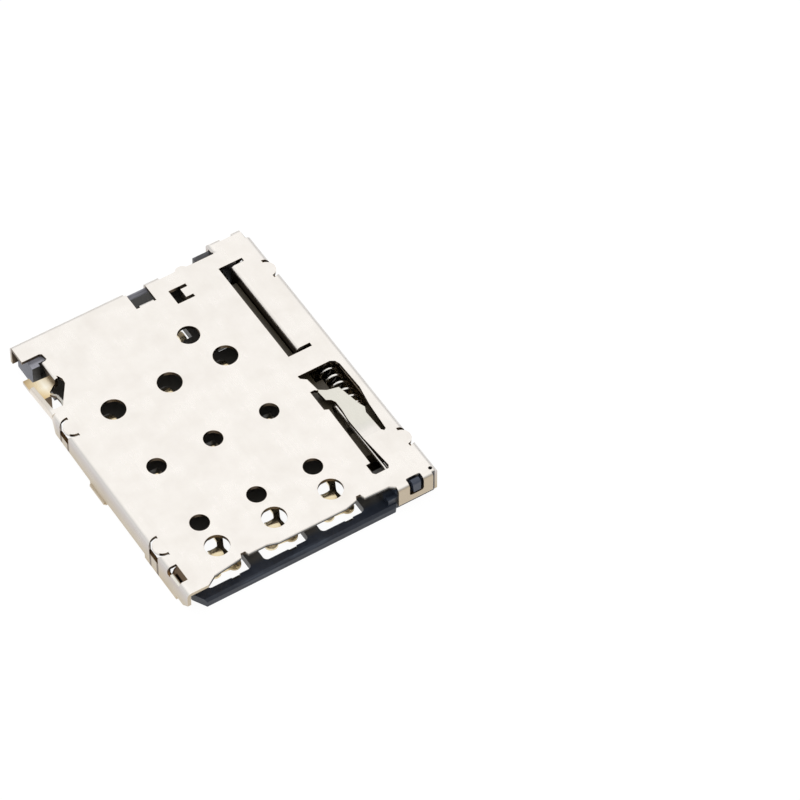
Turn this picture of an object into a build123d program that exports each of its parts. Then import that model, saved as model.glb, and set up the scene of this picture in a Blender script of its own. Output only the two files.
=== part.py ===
from build123d import *
import math
import os

os.makedirs("parts", exist_ok=True)

# Push-push socket for a small subscriber identity card (12.3 x 8.8 x 0.67 mm).
# Millimetres. Z is up from the solder plane, the card goes in towards +Y,
# and the push-push mechanism is on the +X side. Sizes are measured from the
# middle of the contact grid, and the last step moves every piece so that the
# origin lies under the middle of the outline.

# Whole socket
total_height = 1.28
sheet = 0.15
left_face = -5.70
right_face = 5.56
front_face = -6.85
back_face = 7.38
mech_back_face = 7.80
mech_left = 3.84
foot_out = 0.06
lug_reach = 0.02
bend_out = 0.20
sheet_under = total_height - sheet
flat_left = left_face + bend_out
flat_right = right_face - bend_out
flat_back = back_face - bend_out
left_wall_low = 0.24
right_wall_low = 0.07
above = total_height + 1.0
plate_cut = total_height - 0.38

# Contact grid
column_pitch = 2.54
column_middle = -0.99
columns = [column_middle + i * column_pitch for i in (1, 0, -1)]
row_back = 2.45
row_mid = -0.85
row_low = -4.08
row_front = -5.38

# Moulded housing
solder_gap = 0.02
card_plane = 0.40
housing_left = -4.80
bar_left = -4.88
bar_back = -6.40
back_inner = 6.96
mech_back_inner = 7.28
housing_front = front_face + sheet
housing_back = back_face - sheet
mech_housing_back = mech_back_face - sheet
housing_right = right_face - sheet
housing_top = sheet_under
block_back = -5.15
plate_front = -5.62
plate_back = 6.45
lane_left = 3.34

# Contact metal
metal = 0.12
lead_low = 0.16
lead_high = lead_low + metal

# Push-push mechanism
travel = 1.45
slide_gap = 0.03
floor_gap = 0.02
plate_wall_in = 5.20
slider_left = lane_left + slide_gap
slider_right = plate_wall_in - slide_gap
slider_low = metal + floor_gap
slider_top = 0.74
groove_floor = 0.52
pin_radius = 0.10
pin_gap = 0.04
pin_axis_z = slider_top + 0.01 + pin_radius
pivot_x = 4.05
pivot_y = -5.48
pin_tip_y = -1.70
pin_swing = 0.40
spring_x = 4.77
spring_z = 0.60
spring_radius = 0.335
wire_radius = 0.06
spring_front = -2.24
spring_back = mech_back_inner - 0.01
spring_turns = 25
turn_steps = 8


def box(x0, x1, y0, y1, z0, z1):
    size = (x1 - x0, y1 - y0, z1 - z0)
    middle = ((x0 + x1) / 2, (y0 + y1) / 2, (z0 + z1) / 2)
    return Pos(*middle) * Box(*size)


def drum(x, y, radius, z0, z1):
    return Pos(x, y, (z0 + z1) / 2) * Cylinder(radius, z1 - z0)


def slab(points, z0, z1):
    face = make_face(Polyline(*points, close=True))
    return Pos(0, 0, z0) * extrude(face, z1 - z0)


def strip(points, thickness, x0, x1):
    # A sheet bent along (y, z) points, as wide as x0 to x1.
    face = trace(Polyline(*points), thickness)
    return Pos(x0, 0, 0) * extrude(Plane.YZ * face, x1 - x0)


def side_slab(points, x0, x1):
    # A body with a side outline of (y, z) points, as wide as x0 to x1.
    face = make_face(Polyline(*points, close=True))
    return Pos(x0, 0, 0) * extrude(Plane.YZ * face, x1 - x0)


def leaf(points, radius, thickness, z0, z1):
    # A standing sheet bent along (x, y) points.
    path = FilletPolyline(*points, radius=radius)
    return Pos(0, 0, z0) * extrude(trace(path, thickness), z1 - z0)


def bevelled(body, size):
    return chamfer(body.edges().filter_by(Axis.Z), size)


def save(piece, name):
    middle_x = (left_face - foot_out + right_face + lug_reach) / 2
    middle_y = (front_face + mech_back_face) / 2
    export_step(Pos(-middle_x, -middle_y, 0) * piece, "parts/" + name + ".step")


# Shell: one folded sheet
front_wall_left = 3.72
open_front = front_face - 2


def folded_box(grow, bottom):
    plan = [
        (left_face + grow, open_front),
        (front_wall_left - grow, open_front),
        (front_wall_left - grow, front_face + grow),
        (right_face - grow, front_face + grow),
        (right_face - grow, mech_back_face - grow),
        (mech_left + grow, mech_back_face - grow),
        (mech_left + grow, back_face - grow),
        (left_face + grow, back_face - grow),
    ]
    return slab(plan, bottom, total_height - grow)


outside = folded_box(0.0, 0.0)
outside = fillet(outside.edges().group_by(Axis.Z)[-1], bend_out)
shell = outside - folded_box(sheet, -1.0)

# The front edge of the plate over the card mouth
lip = [
    (left_face - 1, open_front - 1),
    (left_face - 1, front_face + 0.04),
    (-4.76, front_face + 0.04),
    (-4.30, -6.52),
    (-3.05, -6.36),
    (-2.98, -6.18),
    (-2.78, -6.18),
    (-2.72, -6.34),
    (-1.90, -6.34),
    (-1.42, -6.48),
    (1.60, -6.48),
    (2.10, -6.36),
    (2.18, -6.20),
    (2.36, -6.20),
    (2.44, -6.42),
    (3.50, -6.46),
    (front_wall_left, -6.62),
    (front_wall_left, open_front - 1),
]
shell -= slab(lip, -1, above)

# Open corners, and the lower edges of the front and back walls
front_wall_right = 5.28
side_wall_front = -6.70
side_wall_back = 7.20
back_wall_low = 0.32
shell -= box(front_wall_right, right_face + 1, open_front, side_wall_front, -1, above)
shell -= box(front_wall_left - 1, flat_right, front_face - 0.1, front_face + bend_out, -1, 0.31)
shell -= box(front_wall_right, flat_right + 0.02, front_face - 0.1, front_face + bend_out, -1, sheet_under)
shell -= box(flat_right - 0.02, right_face + 1, side_wall_back, mech_back_face + 1, -1, above)
shell -= box(left_face - 1, flat_left + 0.12, 5.85, back_face + 1, -1, above)
shell -= box(left_face, mech_left + sheet + 0.05, flat_back, back_face + 0.01, -1, back_wall_low)
shell -= box(mech_left - 0.1, right_face + 1, mech_back_face - 0.3, mech_back_face + 1, -1, 0.62)
corner_back = mech_back_face - sheet - 0.05
shell -= box(mech_left - 0.1, mech_left + bend_out, back_face - 0.4, corner_back, -1, sheet_under)
shell -= box(-0.30, 0.70, flat_back, back_face + 0.01, -1, above)
shell -= box(1.32, mech_left, flat_back, back_face + 0.01, -1, above)
shell -= box(4.40, 5.00, mech_back_face - bend_out, mech_back_face + 1, -1, above)
for x0, x1 in ((-3.90, -2.97), (0.75, 1.30)):
    shell += box(x0, x1, back_face - sheet, back_face, 0.03, back_wall_low + 0.1)
rear_lug_x = 2.31
rear_lug_y = 7.03
shell += drum(rear_lug_x, rear_lug_y, 0.30, sheet_under, total_height)

# Bottom edges of the side walls, with solder feet left standing
for y0, y1 in ((open_front, -5.90), (-3.55, -0.58)):
    shell -= box(left_face - 1, flat_left + 0.2, y0, y1, -1, left_wall_low)
corner_cut = [(open_front, -1), (open_front, 0.80), (front_face, 0.62), (-6.42, left_wall_low), (-6.42, -1)]
shell -= side_slab(corner_cut, left_face - 1, flat_left + 0.2)
rail_front = 3.48
rail_front_low = total_height - 0.30
left_low = [
    (0.62, -1),
    (0.62, left_wall_low),
    (rail_front - 0.20, left_wall_low + 0.08),
    (rail_front, rail_front_low),
    (rail_front + 0.30, rail_front_low),
    (rail_front + 0.30, -1),
]
shell -= side_slab(left_low, left_face - 1, flat_left + 0.2)
for y0, y1 in ((open_front, -6.15), (-5.60, -4.55), (-3.60, 4.30), (5.20, side_wall_back + 1)):
    shell -= box(flat_right - 0.05, right_face + 1, y0, y1, -1, right_wall_low)
shell += box(left_face - foot_out, left_face + sheet, -0.52, 0.56, 0, metal)

# Half-round lugs of the top plate, with the bend cut away around them
lug_radius = 0.39
relief = 0.13
left_lug_in = 0.02
left_lug_x = left_face + left_lug_in + lug_radius
right_lug_x = right_face + lug_reach - lug_radius
wall_cut = total_height - 0.56
lugs = ((left_lug_x, 2.56), (left_lug_x, -4.26), (right_lug_x, 5.36), (right_lug_x, -4.71))
for x, y in lugs:
    side = math.copysign(1, x)
    edge = min(side * 5.26, side * 6.0), max(side * 5.26, side * 6.0)
    rim = box(edge[0], edge[1], y - 1, y + 1, 0, above)
    shell -= drum(x, y, lug_radius + relief, wall_cut, above) & rim
    shell += drum(x, y, lug_radius, sheet_under, total_height) & rim

# Round windows over the contacts
hole_large = 0.51
hole_small = 0.40
for x in columns:
    shell -= drum(x, row_back, hole_large, plate_cut, above)
    shell -= drum(x, row_mid, hole_small, plate_cut, above)
    shell -= drum(x, row_low, hole_small, plate_cut, above)
    shell -= drum(x, row_front, hole_large, plate_cut, above)
shell -= drum(0.86, 4.11, 0.46, plate_cut, above)

# Long window whose +X side is bent down between the slider and the spring
flange_left = 4.08
flange_low = 0.50
window_left = 3.60
bend_line = flange_left + bend_out
shell -= box(window_left, bend_line, 1.18, 6.40, plate_cut, above)
shell -= box(window_left, 4.68, 6.22, 6.40, plate_cut, above)
shell -= box(window_left, 4.68, 1.06, 1.24, plate_cut, above)
flange = box(flange_left, bend_line + 0.02, 1.24, 6.22, sheet_under, total_height)
flange += box(flange_left, flange_left + sheet, 1.24, 6.22, flange_low, total_height)
corner = flange.edges().filter_by(Axis.Y).group_by(Axis.Z)[-1].sort_by(Axis.X)[0]
shell += fillet(corner, bend_out - 0.02)

# Small window with a stop tongue bent down, and the notch over the back rib
tongue_x = 1.78
small_left = 1.32
small_front = 5.69
small_back = 6.46
tongue_low = total_height - 0.48
small_slit = 2.10
tongue_front = small_front + 0.15
tongue_back = small_back - 0.16
shell -= box(small_left, tongue_x, small_front, small_back, plate_cut, above)
shell -= box(small_left, small_slit, tongue_back, small_back, plate_cut, above)
shell -= box(small_left, small_slit, small_front, tongue_front, plate_cut, above)
tongue = box(tongue_x, tongue_x + sheet, tongue_front, tongue_back, tongue_low, total_height)
corner = tongue.edges().filter_by(Axis.Y).group_by(Axis.Z)[-1].sort_by(Axis.X)[0]
shell += fillet(corner, 0.12)
notch_front = 6.34
shell -= box(-0.20, 0.70, notch_front, back_face + 1, plate_cut, above)
tab = box(-0.04, 0.60, notch_front - 0.02, notch_front + sheet, total_height - 0.42, total_height)
corner = tab.edges().filter_by(Axis.X).group_by(Axis.Z)[-1].sort_by(Axis.Y)[-1]
shell += fillet(corner, 0.12)

# Side opening: the bend runs on as a sloping rail, and a strap dips from the
# plate to the rail, with a lip outside and a leg at its front
rail_inner = -5.50
rail_back = 5.28
rail_back_top = total_height - 0.26
strap_top = total_height - 0.35
strap_low = strap_top - sheet
leg_low = 0.12
web_left = -4.73
web_right = -4.60
window_front = 3.68
side_window = [
    (left_face - 1, 6.40),
    (-4.60, 6.40),
    (-4.51, 6.34),
    (-4.47, 6.04),
    (web_right, 5.96),
    (web_right, 5.12),
    (-4.52, 5.04),
    (-4.44, 4.86),
    (-4.46, 4.60),
    (-4.98, 3.84),
    (-5.08, window_front),
    (left_face - 1, window_front),
]
shell -= slab(side_window, -1, above)
rail_side = [
    (rail_front, rail_front_low),
    (rail_front, total_height),
    (rail_front + 0.25, total_height - 0.01),
    (rail_back, rail_back_top),
    (rail_back, rail_back_top - 0.22),
]
rail = side_slab(rail_side, left_face, rail_inner)
ridges = rail.edges().group_by(Axis.X)[0].sort_by(Axis.Z)[-2:]
shell += fillet(ridges, 0.12)
strap_plan = [
    (left_face, rail_back - 0.04),
    (left_face, 5.80),
    (-5.42, 5.80),
    (-5.40, 5.54),
    (web_left, 5.50),
    (web_left, 5.02),
    (-4.86, 4.93),
    (-5.06, 4.78),
    (-5.10, 4.58),
    (-5.38, 4.58),
    (rail_inner - 0.04, 4.42),
    (rail_inner - 0.04, rail_back - 0.04),
]
strap = slab(strap_plan, strap_low, strap_top)
strap += box(-5.38, -5.10, 4.58, 4.58 + sheet, leg_low, strap_top)
web_side = [
    (5.98, total_height),
    (5.98, total_height - 0.12),
    (5.48, strap_low),
    (4.98, strap_low),
    (4.98, total_height),
]
web = side_slab(web_side, web_left, web_right + 0.02)
ridge = web.edges().filter_by(Axis.Y).group_by(Axis.Z)[-1].sort_by(Axis.X)[0]
strap += fillet(ridge, 0.11)
arc_path = [(-5.05, 3.60), (-4.97, 3.95), (-4.95, 4.40), (-5.10, 4.66)]
arc_side = [
    (3.55, total_height),
    (4.75, strap_top),
    (4.75, strap_top - 0.12),
    (3.55, total_height - 0.12),
]
arc = leaf(arc_path, 0.15, 0.10, 0.5, above) & side_slab(arc_side, -5.4, -4.7)
shell += strap + arc

# Window in the front of the left bend with its lance, and the latch window
window_right = -5.30
shell -= box(left_face - 1, window_right, -6.17, -5.30, total_height - 0.18, above)
shell -= box(left_face - 1, window_right, -5.52, -5.30, total_height - 0.34, above)
lance_top = total_height - 0.06
lance_path = [
    (window_right + 0.05, lance_top),
    (-5.40, lance_top - 0.12),
    (-5.48, lance_top - 0.32),
    (-5.48, 0.30),
]
lance = extrude(Plane.XZ * trace(Polyline(*lance_path), 0.10), 0.78)
shell += Pos(0, -5.36, 0) * lance
latch_left = 4.22
latch_right = 4.86
latch_low = 0.62
latch_back = front_face + 0.34
latch = box(latch_left, latch_right, front_face - 1, latch_back, latch_low, above)
latch = fillet(latch.edges().filter_by(Axis.Y).group_by(Axis.Z)[0], 0.12)
shell -= fillet(latch.edges().filter_by(Axis.Z).group_by(Axis.Y)[-1], 0.08)
shell -= drum(front_wall_right + 0.05, front_face + 0.30, 0.08, plate_cut, above)

# Opening over the mechanism: the spring, the cam pin and its leaf spring
mech_open = [
    (3.38, 0.03),
    (4.86, 0.03),
    (5.04, -0.08),
    (5.12, -0.30),
    (5.16, -1.70),
    (5.02, -2.62),
    (4.93, -3.98),
    (4.82, -4.04),
    (4.74, -3.92),
    (4.70, -2.90),
    (4.80, -2.64),
    (4.70, -2.37),
    (4.46, -1.30),
    (3.99, -1.16),
    (3.70, -0.96),
    (3.62, -0.30),
    (3.40, -0.12),
]
pin_open = [
    (3.38, -0.90),
    (3.58, -0.90),
    (3.66, -0.98),
    (3.70, -1.55),
    (3.88, -1.66),
    (3.97, -1.84),
    (3.97, -2.30),
    (3.91, -2.90),
    (3.93, -3.95),
    (4.06, -5.56),
    (3.98, -5.70),
    (3.40, -5.70),
    (3.31, -5.60),
    (3.31, -5.12),
    (3.50, -5.12),
    (3.55, -2.02),
    (3.38, -1.94),
]
shell -= slab(mech_open, plate_cut, above)
shell -= slab(pin_open, plate_cut, above)

# The leaf between the two openings slopes down and holds the pin in its track
leaf_root = -3.95
leaf_tip = -0.80
leaf_gap = 0.01
leaf_plan = [
    (3.93, leaf_root),
    (3.94, -2.85),
    (4.02, -2.22),
    (4.04, -1.74),
    (3.95, -1.55),
    (3.77, -1.43),
    (3.74, leaf_tip - 0.10),
    (3.80, leaf_tip),
    (4.08, -1.01),
    (4.55, -1.13),
    (4.75, -2.30),
    (4.85, -2.58),
    (4.73, -2.85),
    (4.74, leaf_root),
]
leaf_hold = pin_tip_y + pin_radius
leaf_drop = sheet_under - (pin_axis_z + pin_radius + leaf_gap)
slope = leaf_drop / (leaf_hold - leaf_root)
tip_drop = slope * (leaf_tip - leaf_root)
leaf_side = [
    (leaf_root - 0.05, sheet_under),
    (leaf_root, sheet_under),
    (leaf_tip, sheet_under - tip_drop),
    (leaf_tip, total_height - tip_drop),
    (leaf_root, total_height),
    (leaf_root - 0.05, total_height),
]
free_plan = [
    (3.60, leaf_root),
    (4.90, leaf_root),
    (4.90, -0.75),
    (3.72, -0.75),
    (3.72, -0.97),
    (3.60, -0.97),
]
shell -= slab(free_plan, plate_cut, above)
leaf_plan = [(3.93, leaf_root - 0.05)] + leaf_plan + [(4.74, leaf_root - 0.05)]
shell += side_slab(leaf_side, 3.60, 4.90) & slab(leaf_plan, 0.5, above)
save(shell, "shell")

# Back contacts: solder ring, buried bridge and a tapered beam
ring_back = -0.15
ring_front = -1.60
ring_left = -0.78
ring_right = 0.50
ring_band = 0.20
lane_middle = -0.14
stub_offset = 0.30
stub_width = 0.22
beam_start = 0.42
probe_y = -2.40
probe_hole = 0.35
probe_recess = 0.50
tip_top = 0.78


def back_contact(x0):
    outer = box(x0 + ring_left, x0 + ring_right, ring_front, ring_back, 0, metal)
    outer = bevelled(outer, 0.14)
    inner_left = x0 + ring_left + ring_band
    inner_right = x0 + ring_right - ring_band
    inner = box(inner_left, inner_right, ring_front + ring_band, ring_back - ring_band, -1, 1)
    piece = outer - bevelled(inner, 0.08)
    piece += box(x0 - 0.41, x0 + 0.08, ring_back - 0.68, ring_back - 0.1, 0, metal)
    piece += box(x0 - 0.62, x0 + 0.34, ring_back - 0.12, ring_back, 0, lead_high)
    piece += box(x0 - 0.74, x0 + 0.46, ring_back - 0.02, beam_start, lead_low, lead_high)
    mid = (lead_low + lead_high) / 2
    tip = tip_top - metal / 2
    profile = [
        (beam_start - 0.10, mid),
        (beam_start + 0.35, mid),
        (row_back - 0.30, tip),
        (row_back + 0.02, tip),
        (row_back + 0.50, tip - 0.30),
    ]
    beam = strip(profile, metal, x0 - 1, x0 + 1)
    plan = [
        (x0 - 0.74, beam_start - 0.1),
        (x0 - 0.74, beam_start + 0.2),
        (x0 - 0.40, row_back - 0.35),
        (x0 - 0.34, row_back + 0.6),
        (x0 + 0.10, row_back + 0.6),
        (x0 + 0.12, row_back - 0.35),
        (x0 + 0.46, beam_start + 0.2),
        (x0 + 0.46, beam_start - 0.1),
    ]
    piece += beam & slab(plan, 0, 1)
    for side in (-1, 1):
        x = x0 + lane_middle + side * stub_offset
        left = x - stub_width / 2
        right = x + stub_width / 2
        piece += box(left, right, ring_front - 0.02, ring_front + 0.12, 0, lead_high)
        piece += box(left, right, probe_y, ring_front, lead_low, lead_high)
    return piece - drum(x0 + lane_middle, probe_y, probe_hole, -1, 1)


# Front contacts: solder frame, two arms to the front lobes and a domed tongue
frame_left = -1.04
frame_right = 0.82
frame_back = -3.33
frame_band = 0.30
kink_start = -4.36
kink_end = -4.80
lobe_y = -5.85
lobe_top = 0.36
lobe_radius = 0.24
tongue_middle = 0.0
tongue_width = 0.46
dome_top = 0.76


def front_contact(x0):
    piece = box(x0 + frame_left, x0 + frame_right, frame_back - 0.19, frame_back, 0, metal)
    piece += box(x0 - 0.34, x0 + 0.14, frame_back - 0.78, frame_back - 0.1, 0, metal)
    arm_rise = [
        (frame_back - 0.1, metal / 2),
        (kink_end, metal / 2),
        (lobe_y + 0.35, 0.25),
        (lobe_y - 0.14, lobe_top - metal / 2),
    ]
    sheet_arm = strip(arm_rise, metal, x0 - 1.2, x0 + 1)
    arms = [
        (frame_right, frame_right - frame_band, 0.60, 0.30),
        (frame_left, frame_left + frame_band, -0.72, -0.42),
    ]
    for start_out, start_in, end_out, end_in in arms:
        plan = [
            (x0 + start_out, frame_back - 0.05),
            (x0 + start_out, kink_start),
            (x0 + end_out, kink_end),
            (x0 + end_out, lobe_y),
            (x0 + end_in, lobe_y),
            (x0 + end_in, kink_end),
            (x0 + start_in, kink_start),
            (x0 + start_in, frame_back - 0.05),
        ]
        piece += sheet_arm & slab(plan, -1, 1)
    for x in (x0 + 0.46, x0 - 0.42):
        piece += sheet_arm & drum(x, lobe_y + 0.11, lobe_radius, -1, 1)
    piece += sheet_arm & box(x0 - 0.45, x0 + 0.48, lobe_y, lobe_y + 0.26, -1, 1)
    dome = dome_top - metal / 2
    tongue_path = [
        (lobe_y + 0.02, 0.28),
        (lobe_y + 0.16, 0.29),
        (row_front - 0.06, dome),
        (row_front + 0.16, dome),
        (row_front + 0.40, dome - 0.16),
    ]
    tongue_left = x0 + tongue_middle - tongue_width / 2
    piece += strip(tongue_path, metal, tongue_left, tongue_left + tongue_width)
    for side in (-1, 1):
        x = x0 + lane_middle + side * stub_offset
        left = x - stub_width / 2
        right = x + stub_width / 2
        piece += box(left, right, frame_back - 0.12, frame_back + 0.02, 0, lead_high)
        piece += box(left, right, frame_back, probe_y, lead_low, lead_high)
    return piece - drum(x0 + lane_middle, probe_y, probe_hole, -1, 1)


back_contacts = [back_contact(x) for x in columns]
front_contacts = [front_contact(x) for x in columns]
for number, piece in enumerate(back_contacts):
    save(piece, "contact_c" + str(number + 1))
for number, piece in enumerate(front_contacts):
    save(piece, "contact_c" + str(number + 5))

# Channel plate under the mechanism, with its +X side bent up
plate_wall_out = plate_wall_in + metal
plate_wall_top = 0.62
outline = [
    (3.34, plate_front),
    (3.34, -2.40),
    (3.27, -2.28),
    (3.20, 3.46),
    (3.26, 6.26),
    (3.12, 6.40),
    (3.10, 6.80),
    (3.33, 6.94),
    (3.36, 7.18),
    (4.00, 7.18),
    (4.00, plate_back),
    (plate_wall_out, plate_back),
    (plate_wall_out, -5.20),
    (4.76, -5.20),
    (4.76, plate_front),
]
plate = slab(outline, 0, metal)
plate += box(plate_wall_in, plate_wall_out, -5.20, plate_back, 0, plate_wall_top)
corner = plate.edges().filter_by(Axis.Y).group_by(Axis.Z)[0].sort_by(Axis.X)[-1]
plate = fillet(corner, metal)
plate -= drum(pivot_x, pivot_y - 0.04, 0.27, -1, 1)
save(plate, "channel_plate")

# Card-detect switch: spring plate with a contact arm, and the fixed leaf
switch_plan = [
    (1.22, 3.92),
    (-0.03, 3.92),
    (-0.48, 4.18),
    (-2.30, 4.32),
    (-2.52, 4.50),
    (-2.52, 5.40),
    (-2.38, 5.52),
    (-2.17, 5.56),
    (-1.42, 5.56),
    (-1.36, 5.48),
    (-0.70, 5.40),
    (-0.70, 4.60),
    (1.22, 4.60),
]
switch = slab(switch_plan, 0, metal)
tab_path = [(5.40, metal / 2), (5.75, metal / 2), (6.00, 0.20), (6.52, 0.30)]
switch += strip(tab_path, metal, -2.17, -1.42)
arm_path = [
    (4.50, metal / 2),
    (4.74, metal / 2),
    (5.22, 0.60),
    (5.42, 0.60),
    (5.66, 0.42),
]
switch += strip(arm_path, metal, 0.18, 0.72)
side_path = [(4.50, metal / 2), (4.80, metal / 2), (5.30, 0.34)]
switch += strip(side_path, metal, -0.60, -0.22)
save(switch, "switch_spring")

fixed_path = [(-2.26, 6.42), (-2.98, 6.76), (-3.40, 6.84), (-4.05, 6.84)]
fixed_leaf = leaf(fixed_path, 0.25, 0.08, 0.10, 0.52)
save(fixed_leaf, "switch_contact")

# Housing
floor_plan = [
    (housing_left, front_face + 0.3),
    (lane_left, front_face + 0.3),
    (lane_left, housing_back),
    (housing_left, housing_back),
]
housing = slab(floor_plan, solder_gap, card_plane)
bar_right = 3.58
bar_plan = [
    (bar_left, front_face),
    (bar_right, front_face),
    (bar_right + 0.12, housing_front),
    (bar_right + 0.12, bar_back),
    (-4.70, bar_back),
    (-4.70, -6.10),
    (-5.22, -6.10),
    (-5.22, -6.26),
]
bar = slab(bar_plan, solder_gap, card_plane)
ridge = bar.edges().filter_by(Axis.X).group_by(Axis.Z)[-1].sort_by(Axis.Y)[0]
housing += chamfer(ridge, 0.11)

# Front block with the pivot of the cam pin and the latch lug
block_low_top = 0.72
post_back = -5.80
housing += box(lane_left, housing_right, housing_front, block_back, solder_gap, block_low_top)
housing += box(3.74, housing_right, housing_front, post_back, solder_gap, housing_top)
pocket_back = housing_front + 0.25
housing -= box(latch_left, latch_right, housing_front - 0.01, pocket_back, latch_low, above)
lug_low = latch_low + 0.04
lug_face = [
    (latch_left + 0.07, above),
    (latch_right - 0.12, above),
    (latch_right - 0.12, lug_low),
    (latch_left + 0.20, lug_low),
]
lug_front = front_face + 0.03
lug_back = latch_back - 0.10
lug_side = [
    (lug_front, lug_low),
    (lug_front, total_height - 0.06),
    (lug_back, total_height - 0.06),
    (lug_back, housing_top - 0.05),
    (pocket_back + 0.01, housing_top - 0.05),
    (pocket_back + 0.01, lug_low),
]
lug = side_slab(lug_side, latch_left, latch_right)
lug &= Pos(0, front_face + 1, 0) * extrude(Plane.XZ * make_face(Polyline(*lug_face, close=True)), 2)
nose = lug.edges().filter_by(Axis.X).group_by(Axis.Z)[-1].sort_by(Axis.Y)[0]
housing += fillet(nose, 0.14)

# Back wall, the block behind the mechanism and the block at the left
block_left = -5.15
block_top = sheet_under - 0.03
housing += box(block_left, lane_left, back_inner, housing_back, solder_gap, housing_top)
housing += box(3.12, lane_left, back_inner, mech_housing_back, solder_gap, 0.98)
housing += box(lane_left, housing_right, mech_back_inner, mech_housing_back, solder_gap, 0.98)
post_left = mech_left + sheet
housing += box(post_left, housing_right, mech_back_inner, mech_housing_back, solder_gap, housing_top)
housing += box(lane_left, housing_right, plate_back, mech_back_inner, solder_gap, card_plane)
housing += box(plate_wall_in, housing_right, plate_back, mech_back_inner, solder_gap, 0.98)
housing += box(block_left, housing_left, 6.00, housing_back, solder_gap, block_top)
housing += box(housing_left - 0.01, -4.36, 6.14, housing_back, solder_gap, block_top)
housing -= box(4.05, plate_wall_in - 0.03, plate_back, mech_back_inner, -1, 1)
rear_hole_left = -5.08
rear_hole_front = 6.60
rear_hole = 0.24
rear_hole_right = rear_hole_left + rear_hole
housing -= box(rear_hole_left, rear_hole_right, rear_hole_front, rear_hole_front + rear_hole, -1, 0.7)

# Openings of the floor, with a roof over the frames of the front contacts
roof_front = -4.25
roof_low = 0.16
for x in columns:
    slot = [
        (x - 1.00, beam_start),
        (x - 0.52, 3.02),
        (x + 0.14, 3.02),
        (x + 0.56, beam_start),
    ]
    housing -= bevelled(slab(slot, -1, 1), 0.10)
    hole_inset = ring_band - 0.04
    ring_hole = box(
        x + ring_left + hole_inset,
        x + ring_right - hole_inset,
        ring_front + hole_inset,
        ring_back - hole_inset,
        -1,
        1,
    )
    housing -= ring_hole
    housing -= drum(x + lane_middle, probe_y, probe_recess, -1, lead_low)
    housing -= drum(x + lane_middle, probe_y, probe_hole, -1, 1)
    slot_low = slab(
        [
            (x - 1.06, frame_back),
            (x - 1.06, -4.45),
            (x - 1.03, -4.90),
            (x - 1.03, bar_back),
            (x + 0.92, bar_back),
            (x + 0.92, -4.90),
            (x + 0.98, -4.45),
            (x + 0.98, frame_back),
        ],
        -1,
        1,
    )
    slot_low = fillet(slot_low.edges().filter_by(Axis.Z).group_by(Axis.Y)[0], 0.18)
    housing -= slot_low - box(x - 2, x + 2, roof_front, frame_back + 1, roof_low, 2)
    housing -= box(x - 0.01, x + 0.35, bar_back - 0.13, bar_back + 0.02, 0.20, 1)
for x in (-2.26, 0.28):
    housing -= box(x - 0.08, x + 0.08, -5.95, -5.15, -1, 0.25)
for x in (2.03, 0.04, -1.94, -3.92):
    housing -= box(x - 0.25, x + 0.25, 3.38, 3.66, -1, 1)
for y in (2.28, 0.50, -0.80, -2.38, -4.12):
    housing -= box(2.70, 2.90, y - 0.22, y + 0.22, -1, 1)
housing -= box(housing_left - 0.01, -4.64, 4.00, 4.96, -1, 1)
housing -= drum(1.90, 5.46, 0.50, -1, 1)
housing -= drum(-3.68, 4.70, 0.32, -1, 1)
housing -= drum(-3.68, 4.70, 0.50, -1, 0.14)
switch_hole = [
    (-3.79, 6.90),
    (-3.79, 6.03),
    (-2.60, 5.56),
    (-0.70, 5.56),
    (-0.70, 4.60),
    (1.28, 4.60),
    (1.28, 6.90),
]
housing -= slab(switch_hole, -1, 1)
housing -= box(-2.56, 1.28, 3.90, 5.60, -1, metal) - box(-2.56, -0.70, 5.52, 5.60, -1, 1)
housing += slab(switch_plan, 0, 0.2) & box(-3, 2, 3, 6, metal, 0.2)

# The buried metal and the pin lie in the moulding without play
for piece in back_contacts + front_contacts:
    housing -= piece
housing -= plate
housing -= switch
housing -= fixed_leaf
housing -= drum(pivot_x, pivot_y, pin_radius + pin_gap, -1, 1)
save(housing, "housing")

# Slider with the heart-shaped cam track
cam_right = 4.34
wide_back = -0.24
bar_right_side = flange_left - slide_gap - 0.01
slider = box(slider_left, slider_right, -4.40, spring_front - 0.01, slider_low, slider_top)
slider += box(slider_left, cam_right, spring_front - 0.02, wide_back, slider_low, slider_top)
slider += box(slider_left, bar_right_side, -1.20, 4.35, slider_low, slider_top)
slider += box(slider_left, bar_right_side, 4.30, 5.78, card_plane + slide_gap, slider_top)
slider += box(2.60, slider_left + 0.1, 4.40, 5.00, card_plane + slide_gap, 1.07)
slider += Pos(spring_x, spring_front + 0.4, spring_z) * Rot(90, 0, 0) * Cylinder(0.2, 0.84)
track_width = 2 * (pin_radius + pin_gap)
home = (pivot_x, pin_tip_y)
far = (pivot_x - pin_swing, pin_tip_y - travel)
tracks = [
    [home, far],
    [far, (3.91, far[1] + 0.16), (4.17, far[1] - 0.02), (4.17, -2.15), home],
]
for points in tracks:
    groove = trace(Polyline(*points), track_width)
    slider -= Pos(0, 0, groove_floor) * extrude(groove, 1)
for x, y in (home, far):
    slider -= drum(x, y, track_width / 2, groove_floor, 1)
save(slider, "slider")

# Cam pin: one bent wire
pin_path = Polyline(
    (pivot_x, pivot_y, 0.06),
    (pivot_x, pivot_y, pin_axis_z),
    (pivot_x, pin_tip_y, pin_axis_z),
    (pivot_x, pin_tip_y, groove_floor + 0.01),
)
pin_section = Plane(origin=pin_path @ 0, z_dir=pin_path % 0) * Circle(pin_radius)
save(sweep(pin_section, pin_path, transition=Transition.RIGHT), "cam_pin")

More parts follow.
